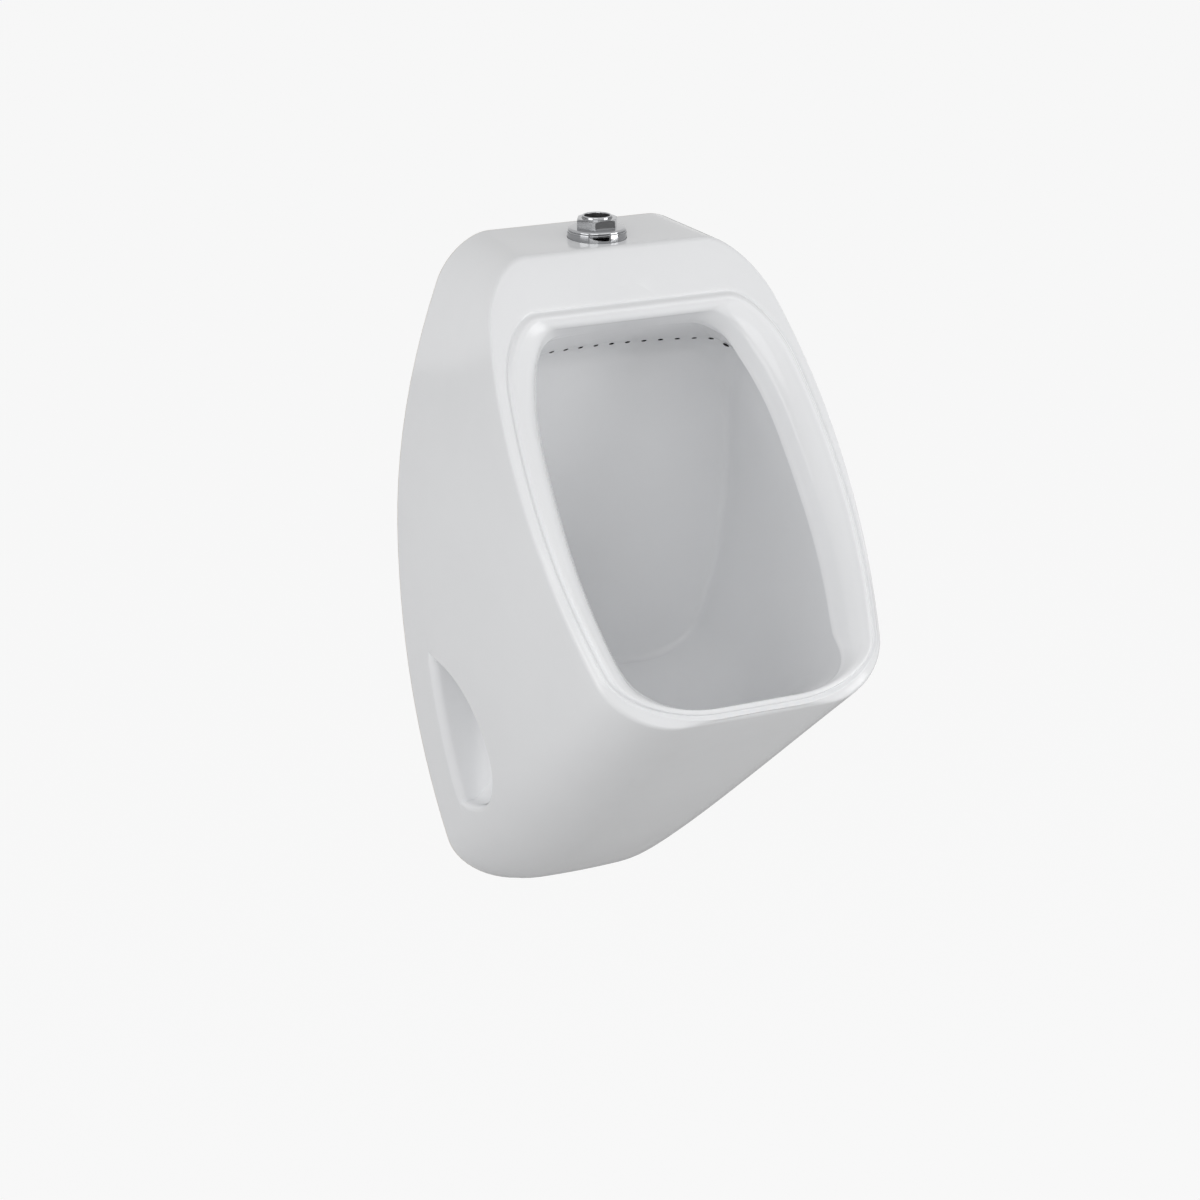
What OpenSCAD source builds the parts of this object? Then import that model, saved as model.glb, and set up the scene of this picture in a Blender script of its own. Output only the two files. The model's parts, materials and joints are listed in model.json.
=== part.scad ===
// Wall-hung urinal in vitreous china, with its inlet spud, drain strainer,
// outlet flange and wall hangers.
// The wall is the plane y = 0, the bowl faces -y, x = 0 is the centre line and
// z = 0 is the china's lowest edge. All sizes are in millimetres.

/* [China at the wall] */
// Height of the china, from its lowest edge to the back of its shelf
body_h = 633; // [610:1:680]
// Greatest width of the china
body_w = 346; // [336:1:376]
// Height of the greatest width
body_wide_z = 367; // [350:1:385]
// Width that the curved sides reach at the shelf
body_top_w = 227; // [223:1:245]
// Width that the curved sides reach at the lowest edge
body_low_w = 222; // [214:1:236]
// Width of the upper corners' rounding
body_up_round_w = 34; // [28:1:44]
// Height of the upper corners' rounding
body_up_round_h = 40; // [32:1:48]
// Width of the lower corners' rounding
body_low_round_w = 70; // [62:1:80]
// Height of the lower corners' rounding
body_low_round_h = 55; // [48:1:64]
// How far the slope under the bowl swells out
belly = 13; // [8:1:15]
// Share of the belly that is gone at the ends of the lowest edge
belly_fall = 0.95; // [0.7:0.05:1]
// Height up to which the belly is full
belly_full_z = 38; // [30:1:46]
// Height at which the belly ends
belly_end_z = 98; // [90:1:106]

/* [Front frame] */
// Depth of the shelf, measured at the height of its back edge
shelf_depth = 91; // [87:1:97]
// Lean of the front face from upright, in degrees
front_lean = 38.3; // [37:0.1:39]
// Fall of the shelf from the wall to its front edge
shelf_fall = 3.5; // [2:0.5:8]
// Greatest width of the front frame
frame_w = 310; // [306:1:318]
// Height of the frame's greatest width
frame_wide_z = 460; // [445:1:475]
// Width that the frame's sides reach at the shelf
frame_top_w = 245; // [236:1:254]
// Width that the frame's sides reach at its lowest edge
frame_low_w = 248; // [240:1:256]
// Height of the frame's lowest edge
frame_low_z = 284; // [280:1:286]
// Width of the frame's upper corners
frame_up_round_w = 35; // [28:1:44]
// Height of the frame's upper corners
frame_up_round_h = 51; // [42:1:60]
// Width of the frame's lower corners
frame_low_round_w = 55; // [46:1:66]
// Height of the frame's lower corners
frame_low_round_h = 40; // [32:1:46]

// Rounding of the frame's outer edge
frame_round = 12; // [6:1:14]

/* [Rim] */
// Reach of the rim from the wall, measured at the height of the shelf's back edge
rim_reach = 90; // [88:0.5:93]
// Lean of the rim from upright, in degrees
rim_lean = 39.1; // [38.7:0.1:39.6]
// Distance from the shelf's back edge down to the groove at the rim's top
rim_top_down = 45; // [41:1:50]
// Height of the rim's lowest edge
rim_low_z = 290; // [288:0.5:292]
// Greatest width across the groove round the rim
rim_w = 294; // [290:1:298]
// Height of the rim's greatest width
rim_wide_z = 448; // [435:1:460]
// Width that the rim's sides reach at its top
rim_top_w = 255; // [248:1:260]
// Width that the rim's sides reach at its lowest edge
rim_low_w = 232; // [226:1:238]
// Width of the bead from the groove to its crest
bead_w = 4.5; // [3:0.5:6]
// How far the bead stands out of the groove
bead_rise = 3; // [1.5:0.5:4]
// Width of the mouth between the edges of the inner lip
mouth_w = 229; // [220:1:236]
// Height of the mouth's greatest width
mouth_wide_z = 413; // [405:1:425]
// Distance from the shelf's back edge down to the mouth's top
mouth_top_down = 69; // [65:1:74]
// Height of the mouth's lowest edge
mouth_low_z = 295.5; // [294.5:0.5:298]
// How far the mouth's edge lies behind the rim at the sides and the top
lip_depth = 33.5; // [28:0.5:37]
// How far the mouth's lowest edge lies behind the rim
lip_low_depth = 2; // [1:0.5:5]
// Height over which the lip turns from its shallow foot to its full depth
lip_turn_h = 31; // [25:1:50]
// How far the inner lip swells out between the bead and the mouth's edge
lip_swell = 7.5; // [3:0.5:9]
// How far the lip's foot swells up
lip_low_swell = 1.5; // [0.5:0.5:3]
// How far the bowl's wall steps out behind the mouth's edge
undercut = 13; // [8:1:14]

/* [Bowl] */
// Distance from the wall to the middle of the bowl's back
bowl_back = 44; // [42:1:50]
// How much further the sides of the bowl's back stand out
bowl_back_sag = 10; // [4:1:12]
// How much further still the upper corners of the bowl's back stand out
bowl_top_sag = 32; // [20:1:36]
// Greatest width of the bowl's back
bowl_w = 271; // [264:1:276]
// Height of the greatest width of the bowl's back
bowl_wide_z = 415; // [400:1:430]
// Distance from the shelf's back edge down to the top of the bowl's back
bowl_top_down = 97; // [95:1:99]
// Height of the foot of the bowl's back
bowl_low_z = 221; // [216:1:226]
// Rounding between the bowl's back and its sides
bowl_round = 12; // [8:1:16]
// Rounding between the bowl's back and its ceiling
cove_round = 26; // [22:1:28]
// How far the bowl's floor dips between its back and its front
bowl_dip = 68; // [62:1:70]

/* [Flush water] */
// Distance of the inlet's axis from the wall
inlet_y = 57; // [56:1:60]
// Radius of the hole for the inlet spud
inlet_hole_r = 17; // [15.5:0.5:18]
// Depth of the level seat for the spud's base ring, from the shelf's back edge
seat_down = 4; // [3:0.5:5]
// Distance from the shelf's back edge down to the roof of the flush chamber
chamber_roof_down = 21; // [18:1:24]
// Distance from the shelf's back edge down to the floor of the flush chamber
chamber_floor_down = 99; // [97:1:100]
// Width of the flush chamber at its floor
chamber_w = 236; // [226:1:240]
// Distance of the flush chamber's back from the wall
chamber_back_y = 26; // [25:1:30]
// Distance from the wall to the front of the flush chamber
chamber_front_y = 103; // [98:1:106]
// Radius of the flush holes
flush_hole_r = 2.2; // [1.5:0.1:2.5]
// Distance between neighbouring flush holes along their row
flush_pitch = 15.4; // [13:0.1:15.6]
// Length of the flush holes through the china
flush_hole_l = 30; // [29:1:32]
// Holes on each side of the middle one in the row
flush_each_side = 8; // [4:1:8]

/* [Drain and trap] */
// Distance of the drain's axis from the wall
drain_y = 158; // [154:1:162]
// Height of the drain well's floor
well_z = 170; // [168:1:172]
// Radius of the drain well
well_r = 38; // [36:1:40]
// Radius of the drain's throat
throat_r = 21; // [19:1:23]
// Radius of the trap's passage
trap_r = 18; // [16:1:19]
// Thickness of the china round the trap
trap_wall = 9; // [8:1:10]
// Distance of the trap's lowest bend from the wall
trap_low_y = 92; // [90:1:96]
// Height of the trap's lowest bend
trap_low_z = 92; // [91:1:98]
// Distance of the trap's upper bend from the wall
trap_high_y = 46; // [44:1:50]
// Height of the outlet's axis
outlet_z = 165; // [162:1:168]
// Radius of the outlet's passage through the china
outlet_r = 22; // [20:1:24]

/* [Walls and hand pockets] */
// Width of the flat band of china against the wall
flange_w = 15; // [12:1:18]
// Distance from the shelf's back edge down to the ceiling of the hollow in the back
hollow_top_down = 128; // [125:1:138]
// Depth of the hollow behind the bowl
hollow_depth = 31; // [28:1:32]
// Depth of the hollow under the bowl
hollow_low_depth = 62; // [56:1:70]
// Height of the foot of the deeper hollow
hollow_low_z = 40; // [38:1:46]
// Width of the deeper hollow under the bowl
hollow_low_w = 168; // [160:2:172]
// Radius of the half-round hand pockets
pocket_r = 73; // [65:1:76]
// Height of the hand pockets' centre
pocket_z = 184; // [178:1:190]
// Distance of the hand pockets' flat edge from the wall
pocket_y = 46; // [44:1:52]
// Distance from the centre line to the floor of each hand pocket
pocket_floor_x = 112; // [109:1:122]

/* [Inlet spud] */
// Outer radius of the spud's thread
spud_r = 13.25; // [12.5:0.25:14]
// Radius of the spud's bore
spud_bore_r = 11.5; // [10:0.25:11.75]
// Height of the spud above its seat
spud_h = 21.5; // [20:0.5:26]
// Outer radius of the base ring
base_ring_r = 26.3; // [25:0.1:27.5]
// Height of the base ring
base_ring_h = 7; // [5:0.5:8]
// Outer radius of the thin ring on the base ring
top_ring_r = 23.5; // [21:0.5:24.5]
// Height of the thin ring
top_ring_h = 3; // [2:0.5:4]
// Width of the lock nut across its flats
spud_nut_af = 31; // [29:0.5:34]
// Height of the lock nut
spud_nut_h = 7; // [5:0.5:8]
// Turn of the lock nut about the inlet's axis, in degrees
spud_nut_turn = 8; // [0:1:59]
// Outer radius of the spud's foot inside the china
spud_foot_r = 23; // [21:0.5:25]
// Thickness of the spud's foot
spud_foot_h = 3; // [2:0.5:4]
// Thickness of the rubber gasket under the china
spud_gasket_h = 4; // [3:0.5:6]
// Thickness of the brass washer under the gasket
spud_washer_h = 1.5; // [1:0.5:2.5]

/* [Strainer] */
// Outer radius of the strainer's rim
strainer_r = 33; // [31:0.5:34]
// Height of the strainer's dome
strainer_rise = 14; // [10:1:20]
// Thickness of the strainer's sheet
strainer_t = 2; // [1.5:0.1:3]
// Radius of the strainer's round holes
strainer_hole_r = 2.3; // [2:0.1:2.4]
// Length of the strainer's legs below its rim
strainer_leg = 14; // [10:1:18]
// Thickness of the rubber seat ring under the strainer
strainer_seal_h = 2.5; // [2:0.5:4]

/* [Outlet flange] */
// Distance from the wall to the china's outlet face
outlet_face_y = 18; // [16:1:20]
// Thickness of the outlet gasket
outlet_gasket_t = 5; // [4:0.5:6]
// Thickness of the china's outlet plate
outlet_plate_t = 12; // [10:1:14]
// Outer radius of the outlet flange's hub
outlet_hub_r = 39; // [37:1:42]
// Radius of the outlet flange's threaded bore
outlet_thread_r = 29.3; // [28:0.1:30]
// Distance from the outlet's axis to each stud
stud_x = 53; // [51:1:58]
// Radius of the ears round the studs
stud_ear_r = 13; // [12:0.5:15]
// Radius of the outlet studs
stud_r = 4; // [3:0.25:5]
// Width of the stud nuts across their flats
stud_nut_af = 13; // [12:0.5:15]
// Height of the stud nuts
stud_nut_h = 6.5; // [5:0.5:8]
// Outer radius of the stud washers
stud_washer_r = 9; // [8:0.5:10]
// Thickness of the stud washers
stud_washer_t = 1.6; // [1:0.2:2.4]

/* [Wall hangers] */
// Distance from the centre line to the middle of each hanger
hanger_x = 85; // [80:1:90]
// Width of each hanger
hanger_w = 44; // [36:1:50]
// Height of each hanger's wall plate
hanger_h = 76; // [70:1:84]
// Thickness of the hangers' steel
hanger_t = 5; // [4:0.5:6]
// How far each hanger's shelf stands out from the wall
hanger_reach = 24; // [21:1:25]
// Height of the upturned lip on each hanger
hanger_lip = 8; // [6:1:8]
// Depth of the china rails that hang on the hangers
rail_h = 13; // [12:1:16]
// Width of the china rails
rail_w = 52; // [46:1:56]
// Radius of the hangers' screw holes
hanger_hole_r = 3.5; // [3:0.25:4.5]
// Distance between the two screw holes of a hanger
hanger_hole_gap = 38; // [30:1:42]

/* [Hidden] */
$fn = 64;

china = "#f1f2f3";
chrome = "#3c4044";
steel = "#b9bcbe";
brass = "#b8964a";
rubber = "#2b2b2c";
iron = "#5a5c5e";

// The gap between round pieces that slip into each other, the lap of a cut, and
// how far a ball stands out of the rods that it joins
fit = 0.3;
lap = 1;
ball_more = 0.4;

// Places in an outline, as seen from the front: three heights, the half widths
// at those heights, and the width and height of the upper and lower corners
TOP = 0;
WIDE = 1;
LOW = 2;
HALF_TOP = 3;
HALF_WIDE = 4;
HALF_LOW = 5;
UP_W = 6;
UP_H = 7;
LOW_W = 8;
LOW_H = 9;

// Steps along each stretch of half an outline
flat_steps = 4;
corner_steps = 7;
side_steps = 9;

// Heights of what hangs from the shelf
rim_top_z = body_h - rim_top_down;
mouth_top_z = body_h - mouth_top_down;
bowl_top_z = body_h - bowl_top_down;
seat_z = body_h - seat_down;
chamber_roof_z = body_h - chamber_roof_down;
chamber_floor_z = body_h - chamber_floor_down;
hollow_top_z = body_h - hollow_top_down;

// How far the sides draw in at the top and at the foot of the mouth, of the
// bowl's back and of the hollow
mouth_top_in = 11.5;
mouth_low_in = 20;
bowl_top_in = 12;
bowl_low_in = 50;
hollow_top_in = 24;

// Widths and heights of the rounded corners of the groove, the mouth, the bowl's
// back and the hollow
rim_up_round = [35, 57];
rim_low_round = [80, 38];
mouth_up_round = [39, 94];
mouth_low_round = [57, 21];
bowl_up_round = [22, 26];
bowl_low_round = [68, 54];
hollow_up_round = 30;

// Heights over which the bowl's wall steps out behind the mouth's edge, the cove
// takes the place of the side's rounding, the bowl's back sags and its floor dips
step_heights = [60, 10];
cove_heights = [70, 10];
sag_h = 80;
dip_h = 70;

// China left under the foot of the bowl's back, and the rails' hold in the china
bowl_foot_t = 17;
rail_root = 8;

// The flush chamber's sloping front and corners
chamber_slope_h = 38;
chamber_floor_w = 14;
chamber_front_round = [15, 18];
chamber_side_round = 24;

// The foot of the strainer's dome, and the seat ring's step back from the throat
dome_r = 25;
strainer_seal_in = 2;

back_outline = [body_h, body_wide_z, 0, body_top_w / 2, body_w / 2, body_low_w / 2,
    body_up_round_w, body_up_round_h, body_low_round_w, body_low_round_h];
frame_outline = [body_h - shelf_fall, frame_wide_z, frame_low_z, frame_top_w / 2, frame_w / 2,
    frame_low_w / 2, frame_up_round_w, frame_up_round_h, frame_low_round_w, frame_low_round_h];
groove_outline = [rim_top_z, rim_wide_z, rim_low_z, rim_top_w / 2, rim_w / 2, rim_low_w / 2,
    rim_up_round[0], rim_up_round[1], rim_low_round[0], rim_low_round[1]];
mouth_outline = [mouth_top_z, mouth_wide_z, mouth_low_z, mouth_w / 2 - mouth_top_in, mouth_w / 2,
    mouth_w / 2 - mouth_low_in, mouth_up_round[0], mouth_up_round[1],
    mouth_low_round[0], mouth_low_round[1]];
bowl_outline = [bowl_top_z, bowl_wide_z, bowl_low_z, bowl_w / 2 - bowl_top_in, bowl_w / 2,
    bowl_w / 2 - bowl_low_in, bowl_up_round[0], bowl_up_round[1],
    bowl_low_round[0], bowl_low_round[1]];
hollow_outline = [hollow_top_z, body_wide_z, flange_w, body_w / 2 - flange_w - hollow_top_in,
    body_w / 2 - flange_w, body_low_w / 2 - flange_w, hollow_up_round, hollow_up_round,
    body_low_round_w - flange_w / 2, body_low_round_h - flange_w / 2];

function mix(a, b, t) = a * (1 - t) + b * t;
function share(v, none, full) = max(0, min(1, (v - none) / (full - none)));

// Half width of an outline at a height: a parabola each way from the widest place
function side_x(o, z) = z > o[WIDE]
    ? mix(o[HALF_WIDE], o[HALF_TOP], pow((z - o[WIDE]) / (o[TOP] - o[WIDE]), 2))
    : mix(o[HALF_WIDE], o[HALF_LOW], pow((o[WIDE] - z) / (o[WIDE] - o[LOW]), 2));

// Half an outline, as [x, z] from the middle of its top to the middle of its foot
function half_outline(o) = [
    for (i = [0:flat_steps - 1])
        [(o[HALF_TOP] - o[UP_W]) * i / flat_steps, o[TOP]],
    for (i = [0:corner_steps - 1])
        let (a = 90 * i / corner_steps, z = o[TOP] - o[UP_H] * (1 - cos(a)))
        [side_x(o, z) - o[UP_W] * (1 - sin(a)), z],
    for (i = [0:side_steps - 1])
        let (z = mix(o[TOP] - o[UP_H], o[LOW] + o[LOW_H], i / side_steps))
        [side_x(o, z), z],
    for (i = [0:corner_steps - 1])
        let (a = 90 * i / corner_steps, z = o[LOW] + o[LOW_H] * (1 - sin(a)))
        [side_x(o, z) - o[LOW_W] * (1 - cos(a)), z],
    for (i = [0:flat_steps])
        [(o[HALF_LOW] - o[LOW_W]) * (1 - i / flat_steps), o[LOW]]
];

// A whole outline, mirrored about the centre line
function outline(o) = let (h = half_outline(o))
    concat(h, [for (i = [len(h) - 2:-1:1]) [-h[i][0], h[i][1]]]);

// An outline grown by d on every side
function grown(o, d) = [o[TOP] + d, o[WIDE], o[LOW] - d, o[HALF_TOP] + d, o[HALF_WIDE] + d,
    o[HALF_LOW] + d, o[UP_W] + d, o[UP_H] + d, o[LOW_W] + d, o[LOW_H] + d];

// An outline set on a plane that leans back from its reach at the shelf
function leaning(o, reach, lean) =
    [for (p = outline(o)) [p[0], -reach - (body_h - p[1]) * tan(lean), p[1]]];
function moved(ring, d) = [for (p = ring) p + d];
function mix_rings(a, b, t) = [for (i = [0:len(a) - 1]) mix(a[i], b[i], t)];

back_ring = [for (p = outline(back_outline)) [p[0], 0, p[1]]];
frame_ring = leaning(frame_outline, shelf_depth, front_lean);
groove_ring = leaning(groove_outline, rim_reach, rim_lean);
crest_ring = leaning(grown(groove_outline, -bead_w), rim_reach + bead_rise, rim_lean);
count = len(back_ring);

// The outside between the wall and the frame, with its belly under the bowl
function belly_share(p) = (1 - share(p[2], belly_full_z, belly_end_z))
    * (1 - belly_fall * pow(2 * p[0] / body_low_w, 2));
function outside_point(i, t) = mix(back_ring[i], frame_ring[i], t)
    - [0, cos(front_lean), sin(front_lean)]
    * belly * sin(180 * sqrt(t)) * belly_share(back_ring[i]);
function outside(t) = [for (i = [0:count - 1]) outside_point(i, t)];

// The rounding of the frame's outer edge, from the outside to the front
function frame_edge(t) = [for (i = [0:count - 1])
    let (a = outside_point(i, 1 - frame_round / norm(back_ring[i] - frame_ring[i])),
        far = norm(groove_ring[i] - frame_ring[i]),
        b = mix(frame_ring[i], groove_ring[i], min(0.5, frame_round / far)))
    mix(mix(a, frame_ring[i], t), mix(frame_ring[i], b, t), t)];

// The mouth's edge, close behind the rim at the foot and deeper at the sides
function high_share(z) = let (s = share(z, mouth_low_z, mouth_low_z + lip_turn_h)) s * s * (3 - 2 * s);
mouth_ring = [for (p = leaning(mouth_outline, rim_reach, rim_lean))
    p + [0, mix(lip_low_depth, lip_depth, high_share(p[2])), 0]];

// The inner lip from the bead's crest to the mouth's edge
function lip(t) = [for (i = [0:count - 1])
    let (high = high_share(mouth_ring[i][2]))
    mix(crest_ring[i], mouth_ring[i], t)
    + [0, -lip_swell * high, lip_low_swell * (1 - high)] * sin(180 * t)];

// The bowl's wall starts behind the mouth's edge, stepped out except at the top
function step_share(z) = 1 - share(z, mouth_top_z - step_heights[0], mouth_top_z - step_heights[1]);
wall_ring = let (stepped = outline(grown(mouth_outline, undercut))) [for (i = [0:count - 1])
    let (p = mouth_ring[i], s = step_share(p[2]))
    mix(p + [0, 4, -2], [stepped[i][0], p[1] + undercut, stepped[i][1]], s)];

// The bowl's back, hollow across, and its rounding into the sides and the ceiling
bowl_mid = [0, (bowl_top_z + bowl_low_z) / 2];
function back_y(x, z) = -bowl_back
    - (bowl_back_sag + bowl_top_sag * pow(share(z, bowl_top_z - sag_h, bowl_top_z), 2))
    * pow(2 * x / bowl_w, 2);
function back_round(z) = mix(bowl_round, cove_round,
    share(z, bowl_top_z - cove_heights[0], bowl_top_z - cove_heights[1]));
function bowl_edge(a) = [for (p = outline(bowl_outline))
    let (r = back_round(p[1]), v = bowl_mid - p, q = p + v * r * (1 - sin(a)) / norm(v))
    [q[0], back_y(q[0], q[1]) - r * (1 - cos(a)), q[1]]];
function bowl_back_ring(s) = [for (p = bowl_edge(0))
    let (x = p[0] * s, z = mix(bowl_mid[1], p[2], s))
    [x, back_y(x, z), z]];

// The bowl's side, ceiling and floor, with the dip of the floor
function dip_share(z) = pow(1 - share(z, bowl_low_z, bowl_low_z + dip_h), 2);
function bowl_side(t) = let (edge = bowl_edge(90)) [for (i = [0:count - 1])
    mix(wall_ring[i], edge[i], t)
    - [0, 0, bowl_dip * pow(sin(180 * pow(t, 1.3)), 1.5) * dip_share(edge[i][2])]];

// The shallow hollow in the back
hollow_mid_z = (hollow_top_z + flange_w) / 2;
function hollow_y(z) = -min(hollow_depth, 1.5 + (z - flange_w) * 1.15);
function hollow_ring(inset, depth) = [for (p = outline(grown(hollow_outline, -inset)))
    [p[0], depth * hollow_y(p[1]), p[1]]];
function hollow_back_ring(s) = [for (p = hollow_ring(6, 1))
    let (z = mix(hollow_mid_z, p[2], s))
    [p[0] * s, hollow_y(z), z]];

skin_rings = [
    for (s = [0.35, 0.7]) bowl_back_ring(s),
    for (a = [0, 22, 45, 68]) bowl_edge(a),
    for (t = [1, 0.88, 0.74, 0.6, 0.46, 0.32, 0.18, 0.07, 0]) bowl_side(t),
    mix_rings(mouth_ring, wall_ring, 0.3),
    for (t = [1, 0.88, 0.68, 0.45, 0.22, 0.08, 0]) lip(t),
    moved(mix_rings(crest_ring, groove_ring, 0.6), [0, -0.6, 0]),
    groove_ring,
    leaning(grown(groove_outline, 2), rim_reach, rim_lean),
    for (t = [1, 0.75, 0.5, 0.25, 0]) frame_edge(t),
    for (t = [0.8, 0.6, 0.42, 0.26, 0.12, 0.04, 0]) outside(t),
    hollow_ring(0, 0),
    hollow_ring(1, 0.5),
    hollow_ring(3, 0.92),
    hollow_ring(6, 1),
    for (s = [0.7, 0.35]) hollow_back_ring(s)
];

// A closed skin over rings of equal length, with a point at each end
module skin(first, rings, last) {
    n = len(rings[0]);
    m = len(rings);
    fan_in = [for (j = [0:n - 1]) [0, 1 + j, 1 + (j + 1) % n]];
    bands = [for (i = [0:m - 2], j = [0:n - 1], half = [0, 1])
        let (a = 1 + i * n + j, b = 1 + i * n + (j + 1) % n)
        half == 0 ? [a, a + n, b] : [b, a + n, b + n]];
    base = 1 + (m - 1) * n;
    fan_out = [for (j = [0:n - 1]) [base + n, base + (j + 1) % n, base + j]];
    polyhedron(concat([first], [for (r = rings, p = r) p], [last]), concat(fan_in, bands, fan_out));
}

// A straight round rod between two points, and a run of rods with balls at the
// bends that stand out by a hair
module rod(a, b, r) {
    d = b - a;
    translate(a) rotate([0, acos(d[2] / norm(d)), atan2(d[1], d[0])]) cylinder(r = r, h = norm(d));
}
module run(points, r) {
    for (i = [0:len(points) - 2]) rod(points[i], points[i + 1], r);
    for (p = points) translate(p) sphere(r = r + ball_more);
}

// A disc, ring or hexagon that lies level, or that faces the wall
module ring(outer, inner, h) {
    difference() {
        cylinder(r = outer, h = h);
        translate([0, 0, -lap]) cylinder(r = inner, h = h + 2 * lap);
    }
}
module hex(across_flats, inner, h) {
    difference() {
        cylinder(r = across_flats / sqrt(3), h = h, $fn = 6);
        translate([0, 0, -lap]) cylinder(r = inner, h = h + 2 * lap);
    }
}
module facing_wall(x, y, z) {
    translate([x, y, z]) rotate([-90, 0, 0]) children();
}
module at_inlet(z) {
    translate([0, -inlet_y, z]) children();
}
module at_studs(y) {
    for (x = [-stud_x, stud_x]) facing_wall(x, y, outlet_z) children();
}
module both_sides() {
    for (s = [0, 1]) mirror([s, 0, 0]) children();
}

// Heights and distances that several pieces share
hanger_top_z = hollow_top_z - rail_h;
plate_back_y = outlet_face_y + outlet_plate_t;
seal_top_z = well_z + strainer_seal_h;
top_ring_z = seat_z + base_ring_h;
spud_nut_z = top_ring_z + top_ring_h;
washer_z = chamber_roof_z - spud_gasket_h - spud_washer_h;

// Water's way out: down the throat, under the dam and up to the outlet
trap_path = [
    [0, -drain_y, well_z - throat_r],
    [0, -trap_low_y, trap_low_z],
    [0, -trap_high_y, outlet_z]
];

// The plate that carries two studs, on the china, the gasket and the flange
module stud_plate(y, t, hub_r, bore_r, hole_r) {
    difference() {
        union() {
            facing_wall(0, y, outlet_z) cylinder(r = hub_r, h = t);
            at_studs(y) cylinder(r = stud_ear_r, h = t);
            translate([-stud_x, y, outlet_z - stud_ear_r]) cube([2 * stud_x, t, 2 * stud_ear_r]);
        }
        facing_wall(0, y - lap, outlet_z) cylinder(r = bore_r, h = t + 2 * lap);
        at_studs(y - lap) cylinder(r = hole_r, h = t + 2 * lap);
    }
}

// Flush water waits above the bowl's ceiling and falls through the row of holes
module flush_chamber() {
    low_x = chamber_w / 2;
    slope_z = chamber_roof_z - chamber_slope_h;
    round_x = low_x - chamber_side_round;
    intersection() {
        translate([-low_x, 0, 0]) rotate([90, 0, 90]) linear_extrude(chamber_w)
            polygon([
                [-chamber_back_y, chamber_floor_z],
                [-chamber_back_y - chamber_floor_w, chamber_floor_z],
                [-chamber_front_y, chamber_floor_z + chamber_slope_h],
                [-chamber_front_y, chamber_roof_z - chamber_front_round[1]],
                [-chamber_front_y + chamber_front_round[0], chamber_roof_z],
                [-chamber_back_y, chamber_roof_z]
            ]);
        rotate([90, 0, 0]) linear_extrude(chamber_front_y + lap)
            polygon([
                [-low_x, chamber_floor_z - lap],
                [low_x, chamber_floor_z - lap],
                [low_x, slope_z],
                [round_x, chamber_roof_z + lap],
                [-round_x, chamber_roof_z + lap],
                [-low_x, slope_z]
            ]);
    }
}
function walk(ring, way, i = 0) = let (step = norm(ring[i + 1] - ring[i]))
    way <= step ? mix(ring[i], ring[i + 1], way / step) : walk(ring, way - step, i + 1);
module flush_holes() {
    row = bowl_edge(54);
    up_and_back = [0, 0.59, 0.81];
    for (i = [0:flush_each_side], s = i == 0 ? [1] : [-1, 1]) {
        p = walk(row, i * flush_pitch);
        mouth = [s * p[0], p[1], p[2]];
        rod(mouth - 4 * up_and_back, mouth + flush_hole_l * up_and_back, flush_hole_r);
    }
}

// A half-round pocket in the side of the china, for the hands that lift it
module hand_pocket() {
    wide = 2 * pocket_r + 2 * lap;
    intersection() {
        translate([pocket_floor_x, -pocket_y, pocket_z]) rotate([0, 90, 0])
            cylinder(r = pocket_r, h = body_w);
        translate([pocket_floor_x - lap, -pocket_y - wide, pocket_z - wide / 2])
            cube([body_w, wide, wide]);
    }
}

// The deeper hollow under the bowl, round the trap
module low_hollow() {
    translate([-hollow_low_w / 2, 0, 0]) rotate([90, 0, 90]) linear_extrude(hollow_low_w)
        polygon([
            [lap, hollow_low_z],
            [-flange_w, hollow_low_z],
            [-hollow_low_depth, hollow_low_z + hollow_low_depth * tan(front_lean) - flange_w],
            [-hollow_low_depth, bowl_low_z - hollow_low_depth + hollow_depth - bowl_foot_t],
            [-hollow_depth, bowl_low_z - bowl_foot_t],
            [lap, bowl_low_z - bowl_foot_t]
        ]);
}
module hanger_rail() {
    depth = hanger_reach - 2 * hanger_t - 2 * fit;
    translate([hanger_x - rail_w / 2, -hanger_t - fit - depth, hanger_top_z])
        cube([rail_w, depth, rail_h + rail_root]);
}

module china_body() {
    color(china)
    difference() {
        union() {
            difference() {
                skin([0, back_y(0, bowl_mid[1]), bowl_mid[1]], skin_rings,
                    [0, -hollow_depth, hollow_mid_z]);
                low_hollow();
            }
            run([trap_path[1], trap_path[2]], trap_r + trap_wall);
            facing_wall(0, -trap_high_y, outlet_z)
                cylinder(r = outlet_r + trap_wall, h = trap_high_y - outlet_face_y - lap);
            stud_plate(-plate_back_y, outlet_plate_t, outlet_hub_r, outlet_r, stud_r + fit);
            both_sides() hanger_rail();
        }
        flush_chamber();
        flush_holes();
        at_inlet(chamber_roof_z - lap) cylinder(r = inlet_hole_r, h = body_h);
        at_inlet(seat_z) cylinder(r = base_ring_r + fit, h = body_h);
        translate([0, -drain_y, well_z]) cylinder(r = well_r, h = bowl_low_z - well_z);
        translate([0, -drain_y, well_z - throat_r]) cylinder(r = throat_r, h = throat_r + lap);
        run(trap_path, trap_r);
        facing_wall(0, -trap_high_y, outlet_z) cylinder(r = outlet_r, h = trap_high_y);
        both_sides() hand_pocket();
    }
}

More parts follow.
